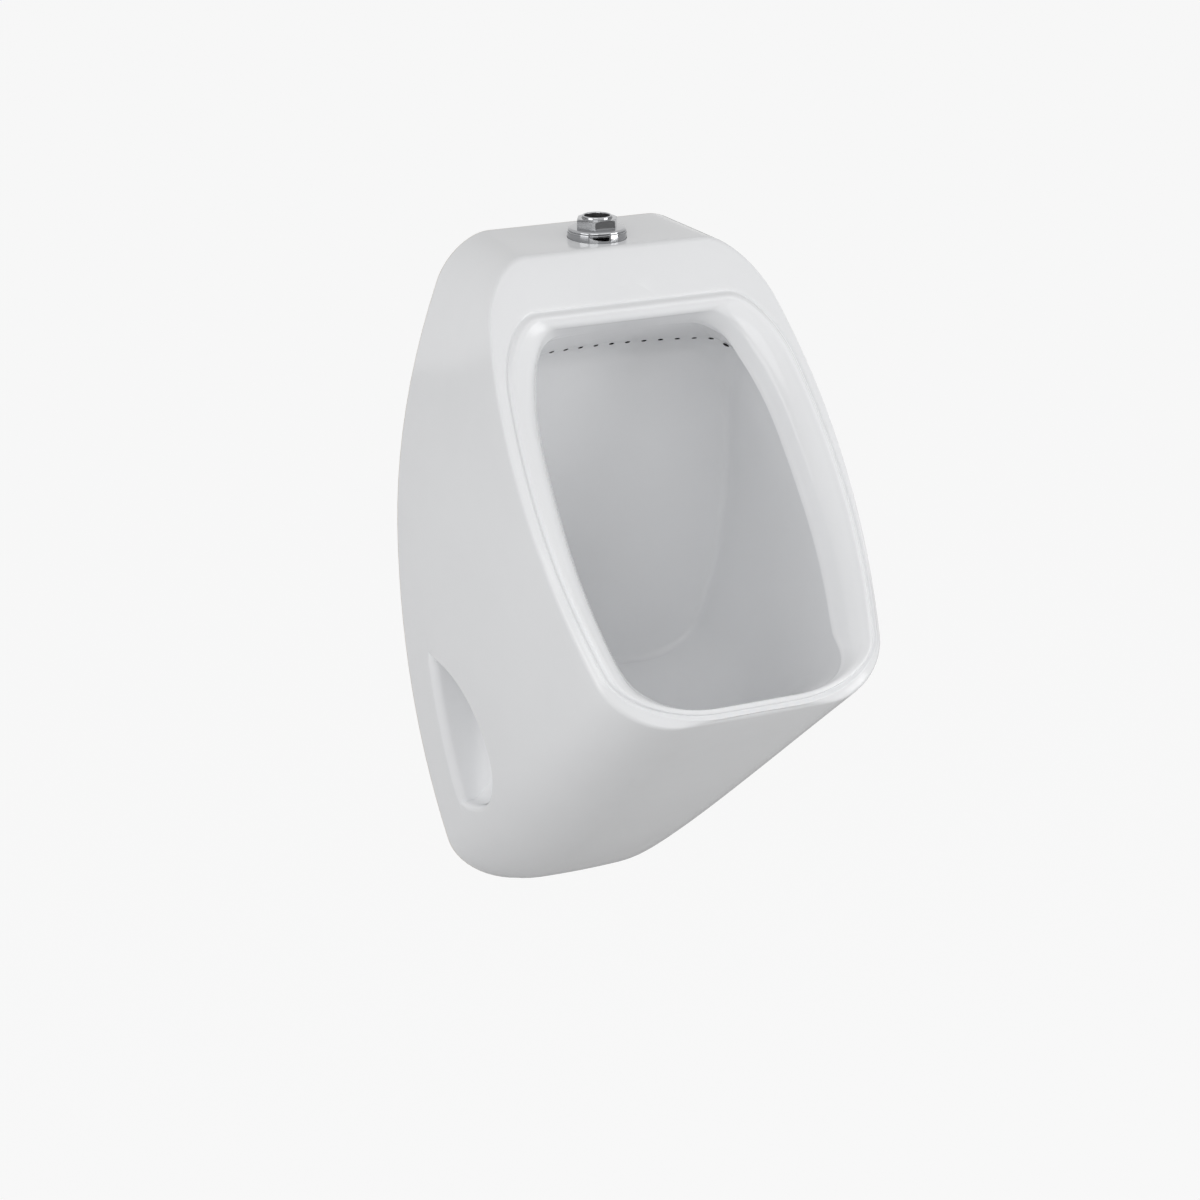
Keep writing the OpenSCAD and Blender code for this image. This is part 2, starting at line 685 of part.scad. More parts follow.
// The inlet spud: a threaded tube whose foot clamps the china from inside
module spud_body() {
    foot_z = washer_z - spud_foot_h;
    color(chrome)
    at_inlet(foot_z) difference() {
        union() {
            cylinder(r = spud_r, h = seat_z + spud_h - foot_z);
            cylinder(r = spud_foot_r, h = spud_foot_h);
        }
        translate([0, 0, -lap]) cylinder(r = spud_bore_r, h = body_h);
    }
}
module spud_gasket() {
    color(rubber)
    at_inlet(chamber_roof_z - spud_gasket_h) {
        ring(spud_foot_r, spud_r, spud_gasket_h);
        ring(inlet_hole_r - fit, spud_r, seat_z - chamber_roof_z + spud_gasket_h);
    }
}
module spud_washer() {
    color(brass)
    at_inlet(washer_z) ring(spud_foot_r, spud_r + fit, spud_washer_h);
}
module spud_base_ring() {
    color(chrome)
    at_inlet(seat_z) ring(base_ring_r, spud_r + fit, base_ring_h);
}
module spud_top_ring() {
    color(chrome)
    at_inlet(top_ring_z) ring(top_ring_r, spud_r + fit, top_ring_h);
}
module spud_nut() {
    color(chrome)
    at_inlet(spud_nut_z) rotate(spud_nut_turn) hex(spud_nut_af, spud_r + fit, spud_nut_h);
}

// The domed strainer drops into the drain well and lifts straight out
ball_r = (dome_r * dome_r + strainer_rise * strainer_rise) / (2 * strainer_rise);
function dome_z(x, r) = strainer_rise - ball_r + sqrt(r * r - x * x);
module strainer() {
    leg_w = 8;
    leg_x = sqrt(pow(throat_r - fit, 2) - pow(leg_w / 2, 2));
    steps = 5;
    inside = [for (i = [0:steps]) dome_r * (1 - i / steps) - (i < steps ? strainer_t / 2 : 0)];
    color(steel)
    translate([0, -drain_y, seal_top_z + fit]) {
        difference() {
            rotate_extrude() polygon(concat(
                [[strainer_r, 0], [strainer_r, strainer_t], [dome_r + 1, strainer_t]],
                [for (i = [0:steps]) let (x = dome_r * (1 - i / steps))
                    [x, max(dome_z(x, ball_r), strainer_t)]],
                [for (i = [steps:-1:0]) [inside[i], max(dome_z(inside[i], ball_r - strainer_t), 0)]]));
            for (row = [1:3], k = [0:6 * row - 1]) if (row < 3 || k % 6 != 1)
                rotate(60 * k / row + (row == 3 ? 10 : 0)) translate([6.5 * row, 0, -lap])
                    cylinder(r = strainer_hole_r, h = body_h);
            translate([0, 0, -lap]) cylinder(r = strainer_hole_r, h = body_h);
        }
        for (k = [0:2]) rotate(120 * k + 30)
            translate([leg_x - strainer_t, -leg_w / 2, -strainer_leg])
                cube([strainer_t, leg_w, strainer_leg + dome_z(leg_x, ball_r - strainer_t / 2)]);
    }
}
module strainer_seal() {
    color(rubber)
    translate([0, -drain_y, well_z]) ring(strainer_r, throat_r + strainer_seal_in, strainer_seal_h);
}

// The outlet flange sits in the wall plane and draws the china onto its gasket
module outlet_flange() {
    color(iron)
    stud_plate(outlet_gasket_t - outlet_face_y, outlet_face_y - outlet_gasket_t, outlet_hub_r,
        outlet_thread_r, stud_r + fit / 2);
}
module outlet_gasket() {
    color(rubber)
    stud_plate(-outlet_face_y, outlet_gasket_t, outlet_hub_r, outlet_thread_r + lap, stud_r + fit);
}
module outlet_studs() {
    end_y = plate_back_y + stud_washer_t + stud_nut_h + 3;
    color(steel)
    at_studs(-end_y) cylinder(r = stud_r, h = end_y - 2);
}
module outlet_washers() {
    color(steel)
    at_studs(-plate_back_y - stud_washer_t) ring(stud_washer_r, stud_r + fit, stud_washer_t);
}
module outlet_nuts() {
    color(steel)
    at_studs(-plate_back_y - stud_washer_t - stud_nut_h)
        rotate(30) hex(stud_nut_af, stud_r + fit / 2, stud_nut_h);
}

// A hanger: a wall plate, a shelf for the china's rail and a lip in front of it
module hanger(x) {
    color(steel)
    difference() {
        translate([x - hanger_w / 2, 0, hanger_top_z]) union() {
            translate([0, -hanger_t, -hanger_h]) cube([hanger_w, hanger_t, hanger_h]);
            translate([0, -hanger_reach, -hanger_t]) cube([hanger_w, hanger_reach, hanger_t]);
            translate([0, -hanger_reach, -hanger_t]) cube([hanger_w, hanger_t, hanger_t + hanger_lip]);
        }
        for (s = [-0.5, 0.5])
            facing_wall(x, -hanger_t - lap, hanger_top_z - hanger_h / 2 + s * hanger_hole_gap)
                cylinder(r = hanger_hole_r, h = hanger_t + 2 * lap);
    }
}
module hanger_left() {
    hanger(-hanger_x);
}
module hanger_right() {
    hanger(hanger_x);
}

china_body();
spud_body();
spud_gasket();
spud_washer();
spud_base_ring();
spud_top_ring();
spud_nut();
strainer();
strainer_seal();
outlet_flange();
outlet_gasket();
outlet_studs();
outlet_washers();
outlet_nuts();
hanger_left();
hanger_right();
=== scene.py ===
import json
from math import cos, pi, radians, sin, tan

import bmesh
import bpy
import numpy as np
from mathutils import Matrix, Vector
from mathutils.bvhtree import BVHTree
from mathutils.interpolate import poly_3d_calc

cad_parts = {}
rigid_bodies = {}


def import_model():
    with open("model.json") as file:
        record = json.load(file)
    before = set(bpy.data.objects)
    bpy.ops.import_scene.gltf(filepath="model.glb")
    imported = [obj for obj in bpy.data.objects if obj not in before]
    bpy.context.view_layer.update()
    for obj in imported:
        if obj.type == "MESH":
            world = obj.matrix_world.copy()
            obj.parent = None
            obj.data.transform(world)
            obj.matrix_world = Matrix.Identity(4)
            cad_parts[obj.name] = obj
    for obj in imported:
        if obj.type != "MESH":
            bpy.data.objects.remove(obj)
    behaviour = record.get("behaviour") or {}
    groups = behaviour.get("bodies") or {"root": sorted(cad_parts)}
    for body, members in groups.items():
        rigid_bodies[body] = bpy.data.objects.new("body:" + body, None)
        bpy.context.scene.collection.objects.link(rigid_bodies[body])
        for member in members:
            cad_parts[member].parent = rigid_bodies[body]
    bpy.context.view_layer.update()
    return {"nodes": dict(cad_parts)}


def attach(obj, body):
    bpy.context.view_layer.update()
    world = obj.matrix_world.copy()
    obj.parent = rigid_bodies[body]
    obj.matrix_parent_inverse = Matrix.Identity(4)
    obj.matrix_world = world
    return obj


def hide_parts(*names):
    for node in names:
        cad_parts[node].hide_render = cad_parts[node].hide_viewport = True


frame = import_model()

MM = 0.001
UP = Vector((0, 0, 1))


class Value:
    """A shader socket, for maths written as plain expressions"""

    def __init__(self, nodes, socket):
        self.nodes = nodes
        self.socket = socket

    def maths(self, operation, other):
        return self.nodes.node("ShaderNodeMath", {"operation": operation}, self, other)

    def __add__(self, other):
        return self.maths("ADD", other)

    def __mul__(self, other):
        return self.maths("MULTIPLY", other)

    __rmul__ = __mul__


class Finish:
    """A material with one Principled shader, and the nodes that feed it"""

    def __init__(self, name, **sockets):
        self.material = bpy.data.materials.new(name)
        self.material.use_nodes = True
        self.tree = self.material.node_tree
        self.shader = self.tree.nodes["Principled BSDF"]
        for socket, value in sockets.items():
            self.feed(socket.replace("_", " "), value)
        self.place = self.node("ShaderNodeTexCoord", {}, out="Object")

    def feed(self, socket, value):
        self.link(self.shader.inputs[socket], value)

    def link(self, socket, value):
        if isinstance(value, Value):
            self.tree.links.new(value.socket, socket)
        else:
            socket.default_value = value

    def node(self, kind, settings, *inputs, out=0, **named):
        node = self.tree.nodes.new(kind)
        for key, value in settings.items():
            if key == "stops":
                ramp = node.color_ramp.elements
                while len(ramp) < len(value):
                    ramp.new(0.5)
                for element, (at, colour) in zip(ramp, value):
                    element.position = at
                    element.color = (*colour, 1)
            else:
                setattr(node, key, value)
        for socket, value in zip(node.inputs, inputs):
            self.link(socket, value)
        for socket, value in named.items():
            self.link(node.inputs[socket.replace("_", " ")], value)
        return Value(self, node.outputs[out])

    def noise(self, scale, detail, stretch=(1, 1, 1), roughness=0.5):
        place = self.node("ShaderNodeMapping", {}, Vector=self.place, Scale=stretch)
        return self.node("ShaderNodeTexNoise", {}, Vector=place, Scale=scale, Detail=detail,
                         Roughness=roughness)

    def ramp(self, factor, *stops):
        return self.node("ShaderNodeValToRGB", {"stops": stops}, factor)

    def blend(self, factor, low, high):
        mixed = self.node("ShaderNodeMix", {"data_type": "RGBA"}, factor, out=2)
        for socket, colour in zip(mixed.socket.node.inputs[6:8], (low, high)):
            self.link(socket, colour)
        return mixed

    def between(self, factor, low, high):
        return self.node("ShaderNodeMapRange", {}, factor, 0.0, 1.0, low, high)

    def bump(self, height, distance, strength):
        return self.node("ShaderNodeBump", {}, Height=height, Distance=distance,
                         Strength=strength, out="Normal")


def glaze():
    """White glaze over vitreous china, with the bare body where it meets the wall"""
    f = Finish("white_glaze", IOR=1.52, Specular_IOR_Level=0.32)
    depth = f.node("ShaderNodeSeparateXYZ", {}, f.place, out="Y")
    bare = f.node("ShaderNodeMapRange", {}, depth, -0.0012, -0.0006, 0.0, 1.0)
    cloud = f.noise(9.0, 3.0)
    white = f.ramp(cloud, (0.3, (0.808, 0.814, 0.826)), (0.7, (0.828, 0.834, 0.845)))
    biscuit = f.ramp(f.noise(300.0, 4.0),
                     (0.3, (0.60, 0.57, 0.51)), (0.75, (0.72, 0.69, 0.63)))
    f.feed("Base Color", f.blend(bare, white, biscuit))
    f.feed("Roughness", f.between(f.noise(22.0, 2.0), 0.10, 0.16) + bare * 0.5)
    ripple = f.noise(16.0, 1.0) + 0.25 * f.noise(90.0, 1.0)
    f.feed("Normal", f.bump(ripple, 0.00035, 0.35))
    return f.material


def painted_shade_waterway():
    """Painted shade, near black, for the flush chamber, its holes and the spud's bore, out of the
    light
    """
    f = Finish("painted_shade_waterway", Roughness=0.5)
    painted_shade_mottle = f.noise(120.0, 3.0)
    f.feed("Base Color", f.ramp(painted_shade_mottle, (0.3, (0.008, 0.008, 0.009)),
                                (0.7, (0.02, 0.02, 0.021))))
    return f.material


def polished_chrome():
    f = Finish("polished_chrome", Metallic=1.0)
    swirl = f.noise(60.0, 3.0, (1, 1, 30))
    f.feed("Base Color", f.ramp(swirl, (0.3, (0.35, 0.355, 0.365)),
                                (0.7, (0.40, 0.405, 0.415))))
    f.feed("Roughness", f.between(swirl, 0.04, 0.10))
    f.feed("Normal", f.bump(swirl, 0.00002, 0.3))
    return f.material


def satin_steel(name="satin_steel", low=0.26, high=0.42, tint=(0.55, 0.56, 0.57)):
    f = Finish(name, Metallic=1.0)
    grain = f.noise(220.0, 4.0, (1, 1, 8))
    dark = tuple(c * 0.88 for c in tint)
    f.feed("Base Color", f.ramp(grain, (0.3, dark), (0.75, tint)))
    f.feed("Roughness", f.between(grain, low, high))
    f.feed("Normal", f.bump(grain, 0.00004, 0.5))
    return f.material


def black_rubber():
    f = Finish("black_rubber", Specular_IOR_Level=0.35)
    grain = f.noise(900.0, 5.0)
    f.feed("Base Color", f.ramp(grain, (0.3, (0.018, 0.018, 0.019)),
                                (0.75, (0.04, 0.04, 0.042))))
    f.feed("Roughness", f.between(grain, 0.55, 0.8))
    f.feed("Normal", f.bump(grain, 0.00015, 0.5))
    return f.material


def cast_iron():
    f = Finish("cast_iron", Metallic=0.55)
    grain = f.noise(420.0, 6.0, roughness=0.65)
    f.feed("Base Color", f.ramp(grain, (0.3, (0.045, 0.045, 0.048)),
                                (0.75, (0.11, 0.11, 0.115))))
    f.feed("Roughness", f.between(grain, 0.5, 0.75))
    f.feed("Normal", f.bump(grain, 0.0005, 0.6))
    return f.material


# Points along each outline's flats, corners and sides
FLAT, CORNER, SIDE = 7, 14, 24

# Sizes of the china, in millimetres, as all sizes down to the studio where no unit is named
BODY_H, BODY_WIDE_Z, SHELF_FALL = 633, 367, 3.5
FLANGE_W, HOLLOW_TOP, HOLLOW_DEPTH = 15, 505, 31
HOLLOW_START, HOLLOW_SLOPE = 1.5, 1.15


def mix(a, b, t):
    return a * (1 - t) + b * t


def share(v, none, full):
    """How far v has come from none to full, within 0 and 1"""
    return min(1.0, max(0.0, (v - none) / (full - none)))


def ease(s):
    return s * s * (3 - 2 * s)


def near_top(z, o, start, end):
    """How far z has come towards an outline's top, between two depths under it"""
    return share(z, o[0] - start, o[0] - end)


def outline(o):
    """The closed line of a shape that is the same left and right. Its numbers are the heights of
    its top, widest place and bottom, half its width at each, and the width and height of its
    upper and lower corners"""
    top, wide, low, half_top, half_wide, half_low, up_w, up_h, low_w, low_h = o

    def side(z):
        if z > wide:
            return mix(half_wide, half_top, ((z - wide) / (top - wide)) ** 2)
        return mix(half_wide, half_low, ((wide - z) / (wide - low)) ** 2)

    half = [((half_top - up_w) * i / FLAT, top) for i in range(FLAT)]
    for i in range(CORNER):
        a = pi / 2 * i / CORNER
        z = top - up_h * (1 - cos(a))
        half.append((side(z) - up_w * (1 - sin(a)), z))
    for i in range(SIDE):
        z = mix(top - up_h, low + low_h, i / SIDE)
        half.append((side(z), z))
    for i in range(CORNER):
        a = pi / 2 * i / CORNER
        z = low + low_h * (1 - sin(a))
        half.append((side(z) - low_w * (1 - cos(a)), z))
    half += [((half_low - low_w) * (1 - i / FLAT), low) for i in range(FLAT + 1)]
    return half + [(-x, z) for x, z in half[-2:0:-1]]


def grown(o, d):
    """An outline set out by d all round"""
    top, wide, low, half_top, half_wide, half_low, up_w, up_h, low_w, low_h = o
    return (top + d, wide, low - d, half_top + d, half_wide + d, half_low + d,
            up_w + d, up_h + d, low_w + d, low_h + d)


def leaning(o, reach, lean):
    """An outline in a plane that comes forward as it goes down"""
    return np.array([(x, -reach - (BODY_H - z) * tan(radians(lean)), z)
                     for x, z in outline(o)])


BACK_EDGE = (BODY_H, BODY_WIDE_Z, 0, 113.5, 172.9, 111, 34, 40, 70, 55)
FRAME = (BODY_H - SHELF_FALL, 460, 284, 122.5, 155, 124, 35, 51, 55, 40)
GROOVE = (588, 448, 290, 127.5, 147, 116, 35, 57, 80, 38)
MOUTH = (564, 413, 295.5, 103, 114.5, 94.5, 39, 94, 57, 21)
BOWL = (536, 415, 221, 123.5, 135.5, 95, 22, 26, 44, 30)
HOLLOW = (HOLLOW_TOP, BODY_WIDE_Z, FLANGE_W, 134, 158, 96, 30, 30, 62.5, 47.5)
SHELF_DEPTH, FRONT_LEAN, FRAME_ROUND = 91, 38.3, 5
BELLY, BELLY_FALL, BELLY_FULL_Z, BELLY_END_Z = 13, 0.95, 38, 98
RIM_REACH, RIM_LEAN, BEAD_W, BEAD_RISE = 90, 39.1, 4.5, 3
LIP_DEPTH, LIP_LOW_DEPTH, LIP_TURN_H, UNDERCUT = 33.5, 2, 31, 13
LIP_LOW_SWELL = 1.5
BOWL_BACK, BOWL_SAG, BOWL_TOP_SAG = 44, 10, 32
BOWL_MID = (BOWL[0] + BOWL[2]) / 2

# The bowl's floor dips to the drain, from this height over its lowest edge down
BOWL_DIP, DIP_H, DIP_SHIFT, DIP_SHARPNESS = 68, 70, 1.3, 1.5

# The cove round the bowl's back has a larger radius under the ceiling, and turns there through
# less than a quarter, to meet the ceiling's slope
COVE_R, COVE_TOP_R, TOP_TURN = 7, 26, 0.64

# What the wall inside the mouth's edge moves by at its top, where it has no undercut
WALL_TOP_STEP = np.array((0, 4, -2))

# Depths under an outline's top, between which a form changes over
SAG_GROWS, COVE_GROWS, COVE_TURNS = (80, 0), (70, 10), (24, 3)
UNDERCUT_ENDS, LIP_RUNS_ON = (60, 10), (40, 4)

# The bead's section from its groove to its crest, as places out from the crest and down from it,
# and the inner lip's from the crest to the mouth's edge, as shares of its width and its depth
BEAD = ((5.8, 3), (4.9, 3.3), (4, 4), (3.2, 4.1), (2.4, 3.1), (1.6, 1.3), (0.8, 0.3), (0, 0))
LIP = ((0.04, 0.004), (0.09, 0.014), (0.21, 0.08), (0.41, 0.19), (0.58, 0.32), (0.68, 0.43),
       (0.77, 0.58), (0.88, 0.78), (1, 1))

# Where the skin's rings lie: shares of the bowl's back, degrees of its cove, shares of its sides
# and of the way along the ceiling, shares of the frame's round and of the outside, and insets
# and shares of the depth round the hollow's corner
BACK_AT, COVE_AT = (0.35, 0.7), (0, 22, 45, 68)
SIDES_AT = (1, 0.88, 0.74, 0.6, 0.46, 0.32, 0.18, 0.07, 0)
WALL_ON_CEILING, EDGE_ON_CEILING, LIP_ON_CEILING = 0.36, 0.31, (0.26, 0.17, 0.1, 0.045)
EDGE_AT, OUTSIDE_AT = (1, 0.75, 0.5, 0.25, 0), (0.8, 0.6, 0.42, 0.26, 0.12, 0.04, 0)
HOLLOW_CORNER, HOLLOW_BACK_AT = ((0, 0), (1, 0.5), (3, 0.92), (6, 1)), (0.7, 0.35)

back_ring = np.array([(x, 0, z) for x, z in outline(BACK_EDGE)])
frame_ring = leaning(FRAME, SHELF_DEPTH, FRONT_LEAN)
groove_ring = leaning(GROOVE, RIM_REACH, RIM_LEAN)


def bead(out, down):
    """A ring along the bead round the mouth, out from its crest and down from it"""
    return leaning(grown(GROOVE, out - BEAD_W), RIM_REACH + BEAD_RISE - down, RIM_LEAN)


crest_ring = bead(0, 0)


def outside(t):
    """The china between the wall and the frame; t may be one number or one for each point"""
    t = np.broadcast_to(t, len(back_ring))[:, None]
    low = np.array([(1 - share(z, BELLY_FULL_Z, BELLY_END_Z))
                    * (1 - BELLY_FALL * (x / BACK_EDGE[5]) ** 2)
                    for x, _, z in back_ring])[:, None]
    out = np.array((0, cos(radians(FRONT_LEAN)), sin(radians(FRONT_LEAN))))
    return mix(back_ring, frame_ring, t) - out * BELLY * np.sin(pi * np.sqrt(t)) * low


def frame_edge(t):
    """The round between the outside, at 0, and the front frame, at 1"""
    gap = np.linalg.norm(back_ring - frame_ring, axis=1)
    a = outside(1 - FRAME_ROUND / gap)
    far = np.linalg.norm(groove_ring - frame_ring, axis=1)
    b = mix(frame_ring, groove_ring, np.minimum(0.5, FRAME_ROUND / far)[:, None])
    return mix(mix(a, frame_ring, t), mix(frame_ring, b, t), t)


def high(ring):
    """How far each place lies over the mouth's lower edge, where the lip is shallow"""
    return np.array([ease(share(z, MOUTH[2], MOUTH[2] + LIP_TURN_H))
                     for z in ring[:, 2]])[:, None]


mouth_flat = leaning(MOUTH, RIM_REACH, RIM_LEAN)
mouth_ring = mouth_flat + np.array((0, 1, 0)) * mix(LIP_LOW_DEPTH, LIP_DEPTH, high(mouth_flat))


def lip(across, down):
    """A ring along the inner lip, across from the bead's crest and down to the mouth's edge"""
    level = leaning(MOUTH, RIM_REACH + BEAD_RISE, RIM_LEAN)
    swell = np.array((0, 0, LIP_LOW_SWELL)) * (1 - high(mouth_ring)) * sin(pi * across)
    return mix(crest_ring, level, across) + (mouth_ring - level) * down + swell


stepped = outline(grown(MOUTH, UNDERCUT))
wall_ring = np.array([
    mix(p + WALL_TOP_STEP, np.array((x, p[1] + UNDERCUT, z)),
        1 - near_top(p[2], MOUTH, *UNDERCUT_ENDS))
    for p, (x, z) in zip(mouth_ring, stepped)])

# How far each place on the mouth's edge belongs to its top, where the lip runs on into the
# ceiling
at_top = np.array([ease(near_top(z, MOUTH, *LIP_RUNS_ON)) for z in mouth_ring[:, 2]])[:, None]


def back_y(x, z):
    """The bowl's back wall, which comes forward at its sides"""
    sag = BOWL_SAG + BOWL_TOP_SAG * near_top(z, BOWL, *SAG_GROWS) ** 2
    return -BOWL_BACK - sag * (x / BOWL[4]) ** 2


def bowl_edge(a):
    """The cove between the bowl's back and its sides, where it has turned through an angle"""
    ring = []
    for x, z in outline(BOWL):
        r = mix(COVE_R, COVE_TOP_R, near_top(z, BOWL, *COVE_GROWS))
        turn = a * mix(1, TOP_TURN, ease(near_top(z, BOWL, *COVE_TURNS)))
        v = Vector((-x, BOWL_MID - z)).normalized() * r * (1 - sin(turn))
        ring.append((x + v.x, back_y(x + v.x, z + v.y) - r * (1 - cos(turn)), z + v.y))
    return np.array(ring)


def ceiling(ring, t):
    """A ring at the mouth's edge, whose top lies on the straight way from the lip to the bowl"""
    way = mix(lip(*LIP[4]), bowl_edge(pi / 2), t)
    way[:, 0] = ring[:, 0]
    return mix(ring, way, at_top)


def bowl_back(s):
    """The outline of the bowl's back wall, drawn in to a share of its size"""
    return np.array([(x * s, back_y(x * s, mix(BOWL_MID, z, s)), mix(BOWL_MID, z, s))
                     for x, _, z in bowl_edge(0)])


def bowl_side(t):
    """The bowl's sides, floor and ceiling, from inside the mouth, at 0, to the back's cove, at 1.
    The floor dips to the drain between them"""
    edge = bowl_edge(pi / 2)
    ring = mix(ceiling(wall_ring, WALL_ON_CEILING), edge, t)
    dip = np.array([(1 - share(z, BOWL[2], BOWL[2] + DIP_H)) ** 2 for z in edge[:, 2]])
    ring[:, 2] -= BOWL_DIP * sin(pi * t ** DIP_SHIFT) ** DIP_SHARPNESS * dip
    return ring


def hollow_y(z):
    """The depth of the hollow behind the bowl, which slopes in over the lower flange"""
    return -min(HOLLOW_DEPTH, HOLLOW_START + (z - FLANGE_W) * HOLLOW_SLOPE)


def hollow_ring(inset, depth):
    return np.array([(x, depth * hollow_y(z), z) for x, z in outline(grown(HOLLOW, -inset))])


def hollow_back(s):
    """The outline of the hollow's back wall, drawn in to a share of its size"""
    mid = (HOLLOW_TOP + FLANGE_W) / 2
    return np.array([(x * s, hollow_y(mix(mid, z, s)), mix(mid, z, s))
                     for x, _, z in hollow_ring(*HOLLOW_CORNER[-1])])


# Rings that touch count as this far apart
LEAST_GAP = 0.01


def smooth_path(rings, steps):
    """Rings along a smooth path through the given ones"""
    gaps = [np.maximum(np.linalg.norm(b - a, axis=1), LEAST_GAP)[:, None] ** 0.5
            for a, b in zip(rings, rings[1:])]
    made = []
    for k, (a, b) in enumerate(zip(rings, rings[1:])):
        before = rings[k - 1] if k else 2 * a - b
        after = rings[k + 2] if k + 2 < len(rings) else 2 * b - a
        g0 = gaps[k - 1] if k else gaps[k]
        g1, g2 = gaps[k], gaps[k + 1] if k + 1 < len(gaps) else gaps[k]
        ta = g1 * ((a - before) / g0 - (b - before) / (g0 + g1) + (b - a) / g1)
        tb = g1 * ((b - a) / g1 - (after - a) / (g1 + g2) + (after - b) / g2)
        for i in range(steps):
            t = i / steps
            made.append((2 * t ** 3 - 3 * t ** 2 + 1) * a + (t ** 3 - 2 * t ** 2 + t) * ta
                        + (3 * t ** 2 - 2 * t ** 3) * b + (t ** 3 - t ** 2) * tb)
    return made + [rings[-1]]


def closed_line(bm, points):
    """New corners in a ring, and the edges between them"""
    ring = [bm.verts.new(p) for p in points]
    return ring, [bm.edges.new((a, b)) for a, b in zip(ring, ring[1:] + ring[:1])]


def join_rings(rings):
    """A closed skin, extruded from ring to ring, and the faces that close its two ends"""
    bm = bmesh.new()
    ring, edges = closed_line(bm, rings[0])
    start = bmesh.ops.contextual_create(bm, geom=edges)["faces"]
    for points in rings[1:]:
        made = bmesh.ops.extrude_edge_only(bm, edges=edges)["geom"]
        edges = [g for g in made if isinstance(g, bmesh.types.BMEdge)]
        fresh = {g for g in made if isinstance(g, bmesh.types.BMVert)}
        ring = [next(e.other_vert(v) for e in v.link_edges if e.other_vert(v) in fresh)
                for v in ring]
        for v, p in zip(ring, points):
            v.co = p
    end = bmesh.ops.contextual_create(bm, geom=edges)["faces"]
    return bm, start, end


def loft(rings, first, last):
    """A closed skin through rings, with each end drawn in to a point"""
    bm, start, end = join_rings([[Vector(p) * MM for p in ring] for ring in rings])
    for face, tip in ((start, first), (end, last)):
        middle = bmesh.ops.poke(bm, faces=face)["verts"][0]
        middle.co = Vector(tip) * MM
    bmesh.ops.recalc_face_normals(bm, faces=bm.faces)
    return bm


def rod(bm, a, b, r, sides=48):
    a, b = Vector(a) * MM, Vector(b) * MM
    turn = (b - a).to_track_quat("Z", "Y").to_matrix().to_4x4()
    bmesh.ops.create_cone(bm, cap_ends=True, segments=sides, radius1=r * MM, radius2=r * MM,
                          depth=(b - a).length, matrix=Matrix.Translation((a + b) / 2) @ turn)


def past(a, b, more):
    """A point on the line from a to b, and a little beyond b"""
    return Vector(b) + (Vector(b) - Vector(a)).normalized() * more


def ball(bm, at, r):
    bmesh.ops.create_uvsphere(bm, u_segments=48, v_segments=24, radius=r * MM,
                              matrix=Matrix.Translation(Vector(at) * MM))


def block(bm, near, far):
    """A box between two opposite corners"""
    size = [(b - a) * MM for a, b in zip(near, far)]
    mid = Vector([(a + b) / 2 * MM for a, b in zip(near, far)])
    bmesh.ops.create_cube(bm, size=1,
                          matrix=Matrix.Translation(mid) @ Matrix.Diagonal((*size, 1)))


def prism(bm, points, way):
    """A straight extrusion of a flat outline"""
    face = bm.faces.new([bm.verts.new(Vector(p) * MM) for p in points])
    made = bmesh.ops.extrude_face_region(bm, geom=[face])["geom"]
    bmesh.ops.translate(bm, vec=Vector(way) * MM,
                        verts=[g for g in made if isinstance(g, bmesh.types.BMVert)])
    bmesh.ops.recalc_face_normals(bm, faces=bm.faces)


def as_object(name, bm):
    mesh = bpy.data.meshes.new(name)
    bm.to_mesh(mesh)
    bm.free()
    made = bpy.data.objects.new(name, mesh)
    bpy.context.scene.collection.objects.link(made)
    return made


def carve(body, tools, operation):
    """Joins or cuts a body with several solids at once, and drops them"""
    group = bpy.data.collections.new("tools")
    for i, bm in enumerate(tools):
        group.objects.link(as_object("tool_%d" % i, bm))
    step = body.modifiers.new("carve", "BOOLEAN")
    step.operation = operation
    step.solver = "EXACT"
    step.operand_type = "COLLECTION"
    step.collection = group
    settled = body.evaluated_get(bpy.context.evaluated_depsgraph_get())
    mesh = bpy.data.meshes.new_from_object(settled)
    body.modifiers.clear()
    body.data = mesh
    for used in list(group.objects):
        bpy.data.objects.remove(used)
    bpy.data.collections.remove(group)


def tool(make, *args):
    bm = bmesh.new()
    make(bm, *args)
    return bm


# A flared cutter starts this far outside the skin, its round stands this proud of it and has this
# many steps, and its scooped floor is drawn in by this share
CUT_START, CUT_PROUD, ROUND_STEPS, SCOOP_DRAW = 6, 0.12, 8, 0.5

# How far outside a place the skin is looked for, in metres
LOOK_FROM = 0.3


